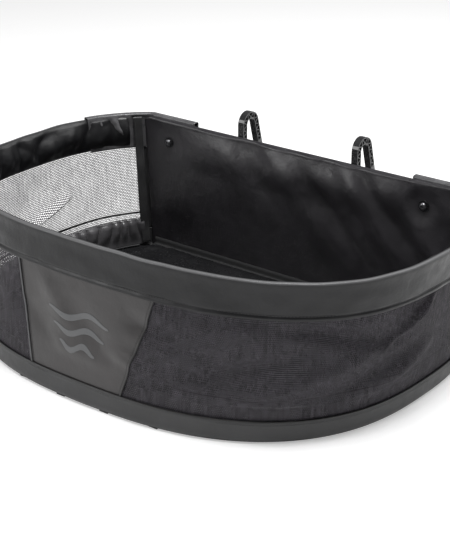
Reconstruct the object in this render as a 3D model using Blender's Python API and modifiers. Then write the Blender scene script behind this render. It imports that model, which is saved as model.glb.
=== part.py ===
"""A rail-hung stripping basket: a D-shaped open basket of mesh and coated fabric.

A stiff panel stands at the back and carries two hooks that hang over a rail.
A flat springy hoop inside a fabric sleeve holds the rim open and is bolted to
the back panel at both corners.  The wall between rim and base is mesh, with a
solid panel at the front, and a stiff insert lies loose on the fabric floor,
where it lifts about its rear edge when the basket is folded.

Axes: +X along the back panel, +Y to the back, +Z up, metres.  The part stands
on z = 0 and its bounding box is centred on x = 0 and y = 0.
"""

import math

import bmesh
import bpy
import numpy as np

# ---------------------------------------------------------------- driving sizes
COLLECTION = "stripping_basket"

RUNNER_HEIGHT = 0.002
RIM_TOP = 0.2205                 # rim above the surface the basket stands on
BASE_LEVEL = 0.0023              # lower edge of the base band and floor cloth

# Each outline is a superellipse cut off by the back panel.
RIM_HALF_CHORD = 0.305           # half the panel length at the rim
RIM_HALF_WIDTH = 0.369
RIM_HALF_DEPTH = 0.264
RIM_POWER = 2.73
BASE_HALF_CHORD = 0.2937
BASE_HALF_WIDTH = 0.3358
BASE_HALF_DEPTH = 0.2933
BASE_POWER = 2.535
STATIONS = 64                    # straight facets round the D
SHARE_MARGIN = 0.004             # least share of the D between two facet corners
SLANT_STEPS = 4                  # facets between a slanted edge and the shared corners
WALL_ROWS = 6                    # rows of facets up the mesh wall

GAP = 0.0004                     # clearance between neighbouring pieces
CLOTH = 0.001                    # coated fabric
MESH_CLOTH = 0.0006

HOOP_THICK = 0.0025
HOOP_WIDE = 0.041
HOOP_BELOW_RIM = 0.003
SLEEVE_OUTER_DROP = 0.050        # depth of the rim band outside
SLEEVE_INNER_DROP = 0.049
SLEEVE_CLEAR = 0.0008
SLEEVE_INSIDE = HOOP_THICK / 2 + SLEEVE_CLEAR
SLEEVE_OUTSIDE = SLEEVE_INSIDE + CLOTH
PATCH_CLEAR = 0.0012
PATCH_INSIDE = SLEEVE_OUTSIDE + PATCH_CLEAR
PATCH_OUTSIDE = PATCH_INSIDE + CLOTH
PATCH_RISE = 0.0035              # the corner patch stands above the rim
PATCH_DROP = 0.052
PATCH_ON_WALL = 4 / STATIONS     # share of the D that a corner patch covers
MESH_TUCK = 0.004                # mesh edge held inside sleeve and band

BAND_THICK = 0.0012
BAND_TOP = 0.031
BAND_OFFSET = 0.0010
INNER_BAND_TOP = 0.050

PANEL_FOOT = 0.0042              # lower edge of the back panel's layers
COVER_BACK = 0.0056              # back face of the panel, from its inner face
BOARD_FRONT = 0.0014
BOARD_BACK = 0.0042
PANEL_END = 0.0170               # the panel stops short of the wall corner
TOP_FOLD = 0.020                 # turned-down edge at the back of the panel
TAB_Y = COVER_BACK + GAP + PATCH_OUTSIDE   # hoop tab behind the panel
TURN_START = 0.016               # where a bend leaves the panel line, from the corner
TURN_PEAK = 0.011
TURN_END = 0.006                 # share of the D where the bend has joined the wall
TURN_STEPS = 5
BINDING_SHARES = (0.003, 0.006, 1 / 64, 0.0175)
BINDING_GAP = 0.0012             # the binding strip stands clear of the patch inside
BINDING_FOOT = 0.0515
SEAM_SHARE = 0.016               # the outside corner seam covers this much wall
SEAM_CLEAR = 0.0020
SEAM_TAB = 0.034                 # and this much of the panel's back
BAND_TAB_END = 0.262             # base band runs this far behind the panel

FRONT_TOP_HALF = 0.129
FRONT_BOTTOM_HALF = 0.071
FRONT_BOTTOM_SHIFT = -0.015
PIPING_RADIUS = 0.0013
SEAM_GAP = 0.0006

FLOOR_THICK = 0.0012
BOARD_THICK = 0.003
FLOOR_BOARD_INSET = 0.009
SEAM_PIPING_RADIUS = 0.0014
SEAM_PIPING_INSET = 0.0042
HINGE_Y = -0.0062                # rear edge of the floor insert
HINGE_STRIP_HEIGHT = 0.012

BOLT_PLACES = (("left", -0.249), ("right", 0.216))
BOLT_HEIGHT = 0.1856
BOLT_RADIUS = 0.0025
BOLT_HEAD_RADIUS = 0.0053
BOLT_HEAD_HEIGHT = 0.0032
WASHER_RADIUS = 0.0085
WASHER_THICK = 0.0013
NUT_RADIUS = 0.0052
NUT_THICK = 0.0042
HOLE_CLEARANCE = 0.0003

PATCH_ENDS = (("left", -0.2027), ("right", 0.1927))
HOOK_PLACES = (("left", -0.1115), ("right", 0.0943))
HOOK_WIDE = 0.0105
HOOK_THICK = 0.0095
HOOK_BEND = 0.0140               # centre-line radius of the crown
HOOK_TOP = 0.256                 # outside of the crown
HOOK_SPLAY = math.radians(15.0)
HOOK_TIP = 0.181
HOOK_FOOT = 0.150
HOOK_PLATE_WIDE = 0.028
HOOK_PLATE_THICK = 0.004
HOOK_PLATE_TOP = 0.206
HOOK_SCREW_OFFSET = 0.0092
HOOK_SCREW_HEIGHT = 0.178
HOOK_SCREW_RADIUS = 0.00175
HOOK_SCREW_HEAD = 0.0036
HOOK_LAND = 0.008                # flat land inside the crown that rests on the rail
POCKET_START = 0.0645             # along the hook's centre line, from its foot
POCKET_PITCH = 0.0056
POCKET_LENGTH = 0.0082
POCKET_COUNT = 18
POCKET_WALL = 0.0014
POCKET_DEPTH = 0.003

RUNNER_PLACES = (-0.114, -0.038, 0.038, 0.114)
RUNNER_WIDE = 0.014

EMBLEM_ROWS = ((0.118, 0.050), (0.097, 0.042), (0.076, 0.030))
EMBLEM_STROKE = 0.0085
EMBLEM_SWELL = 0.0045
EMBLEM_FILM = 0.0004


# ---------------------------------------------------------------- the D outline
def d_outline(half_chord, half_width, half_depth, power):
    """Outline from the left corner round the front to the right corner."""
    across_share = half_chord / half_width
    corner = half_depth * (1 - across_share ** power) ** (1 / power)
    start = math.atan2((corner / half_depth) ** (power / 2), across_share ** (power / 2))
    turn = np.linspace(math.pi - start, 2 * math.pi + start, 4001)
    across = np.cos(turn)
    along = np.sin(turn)
    x = half_width * np.sign(across) * np.abs(across) ** (2 / power)
    y = half_depth * np.sign(along) * np.abs(along) ** (2 / power) - corner
    run = np.concatenate(([0.0], np.cumsum(np.hypot(np.diff(x), np.diff(y)))))
    return {"share": run / run[-1], "x": x, "y": y, "length": run[-1]}


RIM_LINE = d_outline(RIM_HALF_CHORD, RIM_HALF_WIDTH, RIM_HALF_DEPTH, RIM_POWER)
BASE_LINE = d_outline(BASE_HALF_CHORD, BASE_HALF_WIDTH, BASE_HALF_DEPTH, BASE_POWER)


def hook_centres():
    """Near leg, crown centre and far tip of a hook, in panel coordinates."""
    near_y = COVER_BACK + GAP + HOOK_THICK / 2
    crown_y = near_y + HOOK_BEND
    crown_z = HOOK_TOP - HOOK_THICK / 2 - HOOK_BEND
    leg_top_y = crown_y + HOOK_BEND * math.cos(HOOK_SPLAY)
    leg_top_z = crown_z + HOOK_BEND * math.sin(HOOK_SPLAY)
    tip_y = leg_top_y + (leg_top_z - HOOK_TIP) * math.tan(HOOK_SPLAY)
    return near_y, (crown_y, crown_z), (tip_y, HOOK_TIP)


FRONT_REACH = -BASE_LINE["y"].min() + BAND_OFFSET + BAND_THICK
BACK_REACH = hook_centres()[2][0] + HOOK_THICK / 2
PANEL_Y = (FRONT_REACH - BACK_REACH) / 2    # puts the bounding box on y = 0


def place(x, y, z):
    """Panel coordinates, with y = 0 on the panel's inner face, to the part's frame."""
    return (float(x), float(y) + PANEL_Y, float(z))


def level_at(height):
    """Share of the way from base outline to rim outline."""
    return (height - BASE_LEVEL) / (RIM_TOP - BASE_LEVEL)


def half_chord_at(height):
    """Half the length of the back panel's wall-to-wall line."""
    level = level_at(height)
    return BASE_HALF_CHORD * (1 - level) + RIM_HALF_CHORD * level


def wall_plan(share, height):
    """Middle of the wall: a loft between the base outline and the rim outline."""
    level = level_at(height)
    points = []
    for line in (BASE_LINE, RIM_LINE):
        x = np.interp(share, line["share"], line["x"])
        y = np.interp(share, line["share"], line["y"])
        points.append(np.array((x, y)))
    return points[0] * (1 - level) + points[1] * level


def outward(along):
    """Level unit vector square to a direction of travel, out of the basket."""
    return np.array((along[1], -along[0])) / np.hypot(*along)


def wall_stop(share, height):
    """A stop on a path: the wall's middle and its outward direction."""
    step = 0.001
    along = wall_plan(share + step, height) - wall_plan(share - step, height)
    return wall_plan(share, height), outward(along)


def wall_point(share, height, out):
    """Point at a level distance outside the middle of the wall, in the part's frame."""
    middle, normal = wall_stop(share, height)
    return place(*(middle + out * normal), height)


def wall_path(shares):
    """A path maker: stops along the wall at a height, at given shares."""
    return lambda height: [wall_stop(share, height) for share in shares]


def shares_between(first, last):
    """The common facet corners of the D between two shares, with both ends."""
    corners = [k / STATIONS for k in range(STATIONS + 1)]
    inside = [share for share in corners if first + SHARE_MARGIN < share < last - SHARE_MARGIN]
    return [first] + inside + [last]


def corner_turn(side, height, line_y):
    """Stops round the left (-1) or right (1) corner, from the panel's line to the wall."""
    chord = half_chord_at(height)
    start = np.array((side * (chord - TURN_START), line_y))
    peak = np.array((side * (chord - TURN_PEAK), line_y))
    end = wall_plan(TURN_END if side < 0 else 1 - TURN_END, height)
    stops = []
    for k in range(TURN_STEPS):
        t = k / TURN_STEPS
        point = start * (1 - t) ** 2 + peak * 2 * t * (1 - t) + end * t ** 2
        along = (peak - start) * (1 - t) + (end - peak) * t
        stops.append((point, outward(-side * along)))
    return stops


def hooped_path(line_y, left_end=None, right_end=None, shares=None):
    """A path maker for a strip that runs along the D and turns behind the panel."""
    backward = np.array((0.0, 1.0))

    def plan(height):
        stops = [wall_stop(share, height) for share in shares]
        if left_end is not None:
            turn = corner_turn(-1, height, line_y)
            stops = [(np.array((left_end, line_y)), backward)] + turn + stops
        if right_end is not None:
            turn = corner_turn(1, height, line_y)[::-1]
            stops = stops + turn + [(np.array((right_end, line_y)), backward)]
        return stops
    return plan


# ---------------------------------------------------------------- making objects
def clear_scene():
    for item in list(bpy.data.objects):
        bpy.data.objects.remove(item, do_unlink=True)


def make_collection(name):
    collection = bpy.data.collections.new(name)
    bpy.context.scene.collection.children.link(collection)
    return collection


def make_material(name, colour, roughness, metallic=0.0):
    material = bpy.data.materials.new(name)
    material.use_nodes = True
    shader = material.node_tree.nodes["Principled BSDF"]
    shader.inputs["Base Color"].default_value = (*colour, 1.0)
    shader.inputs["Roughness"].default_value = roughness
    shader.inputs["Metallic"].default_value = metallic
    return material


def add_mesh(name, mesh_data, finish, smooth_degrees=35.0):
    """Object from a bmesh, with its own copy of the finish."""
    mesh = bpy.data.meshes.new(name)
    mesh_data.to_mesh(mesh)
    mesh_data.free()
    item = bpy.data.objects.new(name, mesh)
    PARTS.objects.link(item)
    mesh.materials.append(make_material(name + "_finish", *FINISHES[finish]))
    mesh.shade_smooth()
    mesh.set_sharp_from_angle(angle=math.radians(smooth_degrees))
    return item


def loft(name, rings, finish):
    """Closed solid through rings of points, capped at both ends."""
    solid = bmesh.new()
    rows = [[solid.verts.new(point) for point in ring] for ring in rings]
    count = len(rows[0])
    for near, far in zip(rows, rows[1:]):
        for k in range(count):
            nxt = (k + 1) % count
            solid.faces.new((near[k], near[nxt], far[nxt], far[k]))
    solid.faces.new(rows[0][::-1])
    solid.faces.new(rows[-1])
    bmesh.ops.recalc_face_normals(solid, faces=solid.faces)
    return add_mesh(name, solid, finish)


def strip(name, path, section, finish):
    """Section of (out, height) points carried along a path maker."""
    stops = {height: path(height) for _, height in section}
    rings = []
    for k in range(len(stops[section[0][1]])):
        ring = []
        for out, height in section:
            middle, normal = stops[height][k]
            ring.append(place(*(middle + out * normal), height))
        rings.append(ring)
    return loft(name, rings, finish)


def bar_section(inside, outside, foot, top):
    return ((outside, foot), (outside, top), (inside, top), (inside, foot))


def tall_section(half, foot, top):
    """Section of a tall thin wall, in rows that keep its slightly twisted faces true."""
    heights = [float(height) for height in np.linspace(foot, top, WALL_ROWS + 1)]
    outside = [(half, height) for height in heights]
    return outside + [(-half, height) for height in reversed(heights)]


def box(name, low, high, finish):
    """Box between two corners in panel coordinates."""
    solid = bmesh.new()
    bmesh.ops.create_cube(solid, size=1.0)
    low = np.array(place(*low))
    high = np.array(place(*high))
    bmesh.ops.scale(solid, vec=tuple(high - low), verts=solid.verts)
    bmesh.ops.translate(solid, vec=tuple((high + low) / 2), verts=solid.verts)
    return add_mesh(name, solid, finish)


def tapered_sheet(name, section, end_gap, finish):
    """Sheet as wide as the back panel at every height, less a gap at each end."""
    rings = []
    for side in (-1, 1):
        ring = [place(side * (half_chord_at(z) - end_gap), y, z) for y, z in section]
        rings.append(ring)
    return loft(name, rings, finish)


def plate(name, outline, foot, thickness, finish):
    """Flat outline in panel coordinates, thickened upwards."""
    sheet = bmesh.new()
    corners = [sheet.verts.new(place(x, y, foot)) for x, y in outline]
    sheet.faces.new(corners)
    bmesh.ops.recalc_face_normals(sheet, faces=sheet.faces)
    for face in sheet.faces:
        if face.normal.z < 0:
            face.normal_flip()
    item = add_mesh(name, sheet, finish)
    solidify = item.modifiers.new("thickness", "SOLIDIFY")
    solidify.thickness = thickness
    solidify.offset = 1.0
    return item


def tube(name, points, radius, finish):
    """Round cord or piping along points in the part's frame."""
    curve = bpy.data.curves.new(name, "CURVE")
    curve.dimensions = "3D"
    curve.bevel_depth = radius
    curve.bevel_resolution = 1
    curve.use_fill_caps = True
    spline = curve.splines.new("POLY")
    spline.points.add(len(points) - 1)
    for corner, point in zip(spline.points, points):
        corner.co = (*point, 1.0)
    item = bpy.data.objects.new(name, curve)
    PARTS.objects.link(item)
    curve.materials.append(make_material(name + "_finish", *FINISHES[finish]))
    return item


def turned(name, profile, centre, finish, steps=24):
    """Profile of (radius, height) turned about an axis that points into the basket."""
    line = bmesh.new()
    corners = [line.verts.new((radius, 0.0, height)) for radius, height in profile]
    for first, second in zip(corners, corners[1:]):
        line.edges.new((first, second))
    item = add_mesh(name, line, finish)
    item.location = place(*centre)
    item.rotation_euler = (math.pi / 2, 0.0, 0.0)
    screw = item.modifiers.new("turn", "SCREW")
    screw.axis = "Z"
    screw.steps = steps
    screw.render_steps = steps
    screw.use_merge_vertices = True
    screw.merge_threshold = 0.00001
    screw.use_smooth_shade = True
    return item


def cutter_rod(name, centre, radius, y_range, sides=24):
    """Round or many-sided cutter along Y."""
    solid = bmesh.new()
    depth = y_range[1] - y_range[0]
    bmesh.ops.create_cone(
        solid, cap_ends=True, segments=sides, radius1=radius, radius2=radius, depth=depth
    )
    mesh = bpy.data.meshes.new(name)
    solid.to_mesh(mesh)
    solid.free()
    rod = bpy.data.objects.new(name, mesh)
    rod.location = place(centre[0], sum(y_range) / 2, centre[1])
    rod.rotation_euler = (math.pi / 2, 0.0, 0.0)
    return hide_cutter(rod)


def hide_cutter(item):
    CUTTERS.objects.link(item)
    item.hide_render = True
    item.display_type = "WIRE"
    return item


def cut(item, cutter, operation="DIFFERENCE"):
    step = item.modifiers.new(cutter.name, "BOOLEAN")
    step.operation = operation
    step.object = cutter
    step.solver = "EXACT"


# ---------------------------------------------------------------- the soft rim
def make_hoop():
    """Springy flat strip that holds the rim open; its tabs lie behind the panel."""
    top = RIM_TOP - HOOP_BELOW_RIM
    section = bar_section(-HOOP_THICK / 2, HOOP_THICK / 2, top - HOOP_WIDE, top)
    ends = [end for _, end in PATCH_ENDS]
    path = hooped_path(
        TAB_Y, ends[0] - 0.003, ends[1] + 0.003, shares_between(TURN_END, 1 - TURN_END)
    )
    return strip("rim_hoop", path, section, "strip")


def folded_section(inside, outside, top, outer_foot, inner_foot):
    """Sheet folded over a strip: down outside, round the top, down inside."""
    shoulder = top - (outside - inside) * 1.4
    return (
        (outside, outer_foot),
        (outside, shoulder),
        (outside * 0.62, top),
        (-outside * 0.62, top),
        (-outside, shoulder),
        (-outside, inner_foot),
        (-inside, inner_foot),
        (-inside, shoulder - 0.0004),
        (-inside * 0.5, top - (outside - inside)),
        (inside * 0.5, top - (outside - inside)),
        (inside, shoulder - 0.0004),
        (inside, outer_foot),
    )


def make_sleeve():
    section = folded_section(
        SLEEVE_INSIDE, SLEEVE_OUTSIDE, RIM_TOP,
        RIM_TOP - SLEEVE_OUTER_DROP, RIM_TOP - SLEEVE_INNER_DROP,
    )
    path = wall_path(shares_between(1 / STATIONS, 1 - 1 / STATIONS))
    return strip("rim_sleeve", path, section, "vinyl")


def make_corner_patches():
    """Reinforcing patches folded over the rim and the hoop tabs at both corners."""
    foot = RIM_TOP - PATCH_DROP
    section = folded_section(
        PATCH_INSIDE, PATCH_OUTSIDE, RIM_TOP + PATCH_RISE, foot, foot
    )
    patches = {}
    for side, end in PATCH_ENDS:
        if side == "left":
            shares = shares_between(TURN_END, PATCH_ON_WALL)
            path = hooped_path(TAB_Y, left_end=end, shares=shares)
        else:
            shares = shares_between(1 - PATCH_ON_WALL, 1 - TURN_END)
            path = hooped_path(TAB_Y, right_end=end, shares=shares)
        patches[side] = strip("corner_patch_" + side, path, section, "vinyl")
    return patches


# ---------------------------------------------------------------- the wall
def front_edge(side, height, gap=0.0):
    """Share of the D at the front panel's side edge, at a height."""
    level = level_at(height)
    length = BASE_LINE["length"] * (1 - level) + RIM_LINE["length"] * level
    half = FRONT_BOTTOM_HALF * (1 - level) + FRONT_TOP_HALF * level
    shift = FRONT_BOTTOM_SHIFT * (1 - level)
    return 0.5 + (shift + side * (half + gap)) / length


def wall_between(first, last, shares):
    """A path maker along shared facet corners, with edges that vary with height."""
    def plan(height):
        begin = first(height)
        end = last(height)
        lead = np.linspace(begin, shares[0], SLANT_STEPS + 1)[:-1]
        trail = np.linspace(shares[-1], end, SLANT_STEPS + 1)[1:]
        return [wall_stop(share, height) for share in (*lead, *shares, *trail)]
    return plan


def make_walls():
    """Mesh wall on each side of the solid front panel."""
    top = RIM_TOP - SLEEVE_INNER_DROP + MESH_TUCK
    heights = (PANEL_FOOT, top)
    corners = shares_between(0.0, 1.0)[1:-1]
    left_edges = [front_edge(-1, height) for height in heights]
    right_edges = [front_edge(1, height) for height in heights]
    before = [share for share in corners if share < min(left_edges) - SHARE_MARGIN]
    after = [share for share in corners if share > max(right_edges) + SHARE_MARGIN]
    between = [
        share for share in corners
        if max(left_edges) + SHARE_MARGIN < share < min(right_edges) - SHARE_MARGIN
    ]
    section = tall_section(MESH_CLOTH / 2, *heights)
    left = wall_between(lambda z: TURN_END, lambda z: front_edge(-1, z, SEAM_GAP), before)
    right = wall_between(lambda z: front_edge(1, z, SEAM_GAP), lambda z: 1 - TURN_END, after)
    strip("mesh_wall_left", left, section, "mesh")
    strip("mesh_wall_right", right, section, "mesh")
    section = tall_section(CLOTH / 2, *heights)
    middle = wall_between(lambda z: front_edge(-1, z), lambda z: front_edge(1, z), between)
    strip("front_panel", middle, section, "vinyl")


def make_front_piping():
    """Piping sewn down both side edges of the front panel."""
    foot = BAND_TOP + 0.0012
    top = RIM_TOP - SLEEVE_OUTER_DROP - 0.0012
    out = CLOTH / 2 + GAP + PIPING_RADIUS
    for name, side in (("left", -1), ("right", 1)):
        heights = np.linspace(foot, top, 9)
        points = [wall_point(front_edge(side, height), height, out) for height in heights]
        tube("front_piping_" + name, points, PIPING_RADIUS, "piping")


def band_path(out):
    """Path of the base band: round the D and a little way behind the panel."""
    line_y = COVER_BACK + 2 * GAP - out
    shares = shares_between(TURN_END, 1 - TURN_END)
    return hooped_path(line_y, -BAND_TAB_END, BAND_TAB_END, shares)


def make_bands():
    """Fabric bands round the foot of the wall, outside and inside."""
    outside = bar_section(BAND_OFFSET, BAND_OFFSET + BAND_THICK, BASE_LEVEL, BAND_TOP)
    strip("base_band", band_path(BAND_OFFSET), outside, "vinyl")
    near = COVER_BACK + 2 * GAP
    end = BAND_TAB_END - GAP
    low = (-end, near, BASE_LEVEL)
    high = (end, near + BAND_THICK, BAND_TOP)
    box("base_band_back", low, high, "vinyl")
    inside = bar_section(-BAND_OFFSET - CLOTH, -BAND_OFFSET, PANEL_FOOT, INNER_BAND_TOP)
    shares = shares_between(TURN_END, 1 - TURN_END)
    strip("inner_band", wall_path(shares), inside, "vinyl")


def make_emblem():
    """Plain wave mark pressed onto the front panel, in three separate films."""
    front = CLOTH / 2 + GAP
    for row, (height, half) in enumerate(EMBLEM_ROWS, start=1):
        rings = []
        for k in range(25):
            across = -1 + k / 12
            share = 0.5 + (across * half + FRONT_BOTTOM_SHIFT * 0.5) / BASE_LINE["length"]
            middle = height + EMBLEM_SWELL * math.sin(1.5 * math.pi * across)
            stroke = EMBLEM_STROKE / 2 * (1 - 0.75 * abs(across) ** 3)
            film = bar_section(front, front + EMBLEM_FILM, middle - stroke, middle + stroke)
            rings.append([wall_point(share, z, out) for out, z in film])
        loft("emblem_wave_" + str(row), rings, "print")


# ---------------------------------------------------------------- the back panel
def make_back_panel():
    """Stiff board between two covers; the inner one is folded over the top."""
    fold_foot = RIM_TOP - TOP_FOLD
    cover_section = (
        (0.0, PANEL_FOOT),
        (0.0, RIM_TOP - 0.0014),
        (0.0014, RIM_TOP),
        (COVER_BACK - 0.0014, RIM_TOP),
        (COVER_BACK, RIM_TOP - 0.0014),
        (COVER_BACK, fold_foot),
        (COVER_BACK - CLOTH, fold_foot),
        (COVER_BACK - CLOTH, RIM_TOP - CLOTH),
        (CLOTH, RIM_TOP - CLOTH),
        (CLOTH, PANEL_FOOT),
    )
    inner = tapered_sheet("back_cover_inner", cover_section, PANEL_END, "vinyl")
    board_top = RIM_TOP - CLOTH - GAP
    board_section = (
        (BOARD_FRONT, PANEL_FOOT),
        (BOARD_FRONT, board_top),
        (BOARD_BACK, board_top),
        (BOARD_BACK, PANEL_FOOT),
    )
    board = tapered_sheet("back_board", board_section, PANEL_END, "board")
    outer_section = (
        (COVER_BACK - CLOTH, PANEL_FOOT),
        (COVER_BACK - CLOTH, fold_foot - GAP),
        (COVER_BACK, fold_foot - GAP),
        (COVER_BACK, PANEL_FOOT),
    )
    outer = tapered_sheet("back_cover_outer", outer_section, PANEL_END, "vinyl")
    return inner, board, outer


def make_corner_seams():
    """Inside binding strips and outside seam strips at the two back corners."""
    inset = PATCH_OUTSIDE + BINDING_GAP
    section = bar_section(-inset - CLOTH, -inset, BINDING_FOOT, RIM_TOP - 0.002)
    strip("corner_binding_left", wall_path(BINDING_SHARES), section, "vinyl")
    mirrored = [1 - share for share in reversed(BINDING_SHARES)]
    strip("corner_binding_right", wall_path(mirrored), section, "vinyl")
    outside = MESH_CLOTH / 2 + SEAM_CLEAR
    section = bar_section(outside, outside + CLOTH, BAND_TOP + 0.001, RIM_TOP - PATCH_DROP - 0.001)
    line_y = COVER_BACK + GAP - outside
    end = RIM_HALF_CHORD - SEAM_TAB
    left = hooped_path(line_y, left_end=-end, shares=(TURN_END, SEAM_SHARE))
    right = hooped_path(line_y, right_end=end, shares=(1 - SEAM_SHARE, 1 - TURN_END))
    strip("corner_seam_left", left, section, "vinyl")
    strip("corner_seam_right", right, section, "vinyl")


# ---------------------------------------------------------------- the floor
def inset_outline(shares, height, inset):
    """Plan points inside the middle of the wall, in panel coordinates."""
    points = []
    for share in shares:
        middle, normal = wall_stop(share, height)
        points.append(tuple(middle - inset * normal))
    return points


def make_floor():
    """Fabric floor, its seam pipings, the runners under it and the stiff insert."""
    stops = band_path(BAND_OFFSET)(BASE_LEVEL)
    outline = [tuple(middle + (BAND_OFFSET - GAP) * normal) for middle, normal in stops]
    plate("floor_cloth", outline, BASE_LEVEL, FLOOR_THICK, "vinyl")

    seam_height = PANEL_FOOT + SEAM_PIPING_RADIUS
    shares = shares_between(0.014, 0.986)
    seam = [wall_point(share, seam_height, -SEAM_PIPING_INSET) for share in shares]
    tube("floor_piping", seam, SEAM_PIPING_RADIUS, "piping")
    end = BASE_HALF_CHORD - 0.012
    seam_y = -GAP - SEAM_PIPING_RADIUS
    rear_seam = [place(x, seam_y, seam_height) for x in np.linspace(-end, end, 5)]
    tube("panel_piping", rear_seam, SEAM_PIPING_RADIUS, "piping")

    for number, x in enumerate(RUNNER_PLACES, start=1):
        side = x + math.copysign(RUNNER_WIDE / 2, x)
        front = np.interp(side, *front_half(BASE_LINE))
        low = (x - RUNNER_WIDE / 2, front + 0.0005, 0.0)
        high = (x + RUNNER_WIDE / 2, -0.012, RUNNER_HEIGHT)
        box("floor_runner_" + str(number), low, high, "rubber")


def front_half(line):
    """The part of an outline between its widest points, ordered by x."""
    lowest = int(np.argmin(line["x"]))
    highest = int(np.argmax(line["x"]))
    return line["x"][lowest:highest + 1], line["y"][lowest:highest + 1]


def make_floor_insert():
    """Stiff D-shaped board on the floor, hinged by a fabric strip at its rear edge."""
    shares = [k / STATIONS for k in range(STATIONS + 1)]
    foot = BASE_LEVEL + FLOOR_THICK + GAP
    inset = inset_outline(shares, foot, FLOOR_BOARD_INSET)
    edge = [point for point in inset if point[1] < HINGE_Y - 0.003]
    rear_half = -edge[0][0] - 0.004
    outline = [(-rear_half, HINGE_Y)] + edge + [(rear_half, HINGE_Y)]
    plate("floor_board", outline, foot, BOARD_THICK, "board")

    top = foot + BOARD_THICK + GAP
    end = rear_half - 0.012
    low = (-end, HINGE_Y - 0.016, top)
    high = (end, HINGE_Y - 0.001, top + 0.0008)
    box("board_hinge_strip", low, high, "webbing")
    strip_foot = PANEL_FOOT + 2 * SEAM_PIPING_RADIUS + 0.0008
    low = (-end, -GAP - 0.0008, strip_foot)
    high = (end, -GAP, strip_foot + HINGE_STRIP_HEIGHT)
    box("panel_hinge_strip", low, high, "webbing")


# ---------------------------------------------------------------- hooks and fasteners
def hook_outline():
    """Closed side view of a hook in (y, z), panel coordinates."""
    near_y, (crown_y, crown_z), (tip_y, tip_z) = hook_centres()
    half = HOOK_THICK / 2
    outer = HOOK_BEND + half
    inner = HOOK_BEND - half
    points = [(near_y - half, HOOK_FOOT)]
    for k in range(13):
        angle = math.pi + (HOOK_SPLAY - math.pi) * k / 12
        points.append((crown_y + outer * math.cos(angle), crown_z + outer * math.sin(angle)))
    for k in range(1, 8):
        angle = HOOK_SPLAY - math.pi * k / 8
        points.append((tip_y + half * math.cos(angle), tip_z + half * math.sin(angle)))
    land_angle = math.acos(HOOK_LAND / 2 / inner)
    for k in range(5):
        angle = HOOK_SPLAY + (land_angle - HOOK_SPLAY) * k / 4
        points.append((crown_y + inner * math.cos(angle), crown_z + inner * math.sin(angle)))
    for k in range(5):
        angle = math.pi - land_angle + land_angle * k / 4
        points.append((crown_y + inner * math.cos(angle), crown_z + inner * math.sin(angle)))
    points.append((near_y + half, HOOK_FOOT))
    return points


def hook_middle(run):
    """Point and direction on a hook's centre line, by distance up from the panel edge."""
    near_y, (crown_y, crown_z), _ = hook_centres()
    rise = crown_z - HOOK_FOOT
    bend = HOOK_BEND * (math.pi - HOOK_SPLAY)
    if run < rise:
        return (near_y, HOOK_FOOT + run), (0.0, 1.0)
    if run < rise + bend:
        angle = math.pi - (run - rise) / HOOK_BEND
        point = (crown_y + HOOK_BEND * math.cos(angle), crown_z + HOOK_BEND * math.sin(angle))
        return point, (math.sin(angle), -math.cos(angle))
    past = run - rise - bend
    start = (crown_y + HOOK_BEND * math.cos(HOOK_SPLAY), crown_z + HOOK_BEND * math.sin(HOOK_SPLAY))
    along = (math.sin(HOOK_SPLAY), -math.cos(HOOK_SPLAY))
    return (start[0] + along[0] * past, start[1] + along[1] * past), along


def hook_pockets(name, x):
    """Triangular lightening pockets in both sides of a hook, as one cutter."""
    solid = bmesh.new()
    half = HOOK_THICK / 2 - POCKET_WALL
    for number in range(POCKET_COUNT):
        run = POCKET_START + POCKET_PITCH * number
        flip = 1 if number % 2 else -1
        corners = []
        for step, out in ((-0.46, -half), (0.46, -half), (0.0, half)):
            point, along = hook_middle(run + step * POCKET_LENGTH)
            across = (-along[1], along[0])
            corners.append(np.array(point) + flip * out * np.array(across))
        for side in (-1, 1):
            near = x + side * (HOOK_WIDE / 2 - POCKET_DEPTH)
            far = x + side * (HOOK_WIDE / 2 + 0.002)
            rows = []
            for across in (near, far):
                rows.append([solid.verts.new(place(across, *corner)) for corner in corners])
            faces = [rows[0], rows[1][::-1]]
            for k in range(3):
                nxt = (k + 1) % 3
                faces.append((rows[0][k], rows[1][k], rows[1][nxt], rows[0][nxt]))
            for face in faces:
                solid.faces.new(face)
    bmesh.ops.recalc_face_normals(solid, faces=solid.faces)
    mesh = bpy.data.meshes.new(name)
    solid.to_mesh(mesh)
    solid.free()
    return hide_cutter(bpy.data.objects.new(name, mesh))


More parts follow.
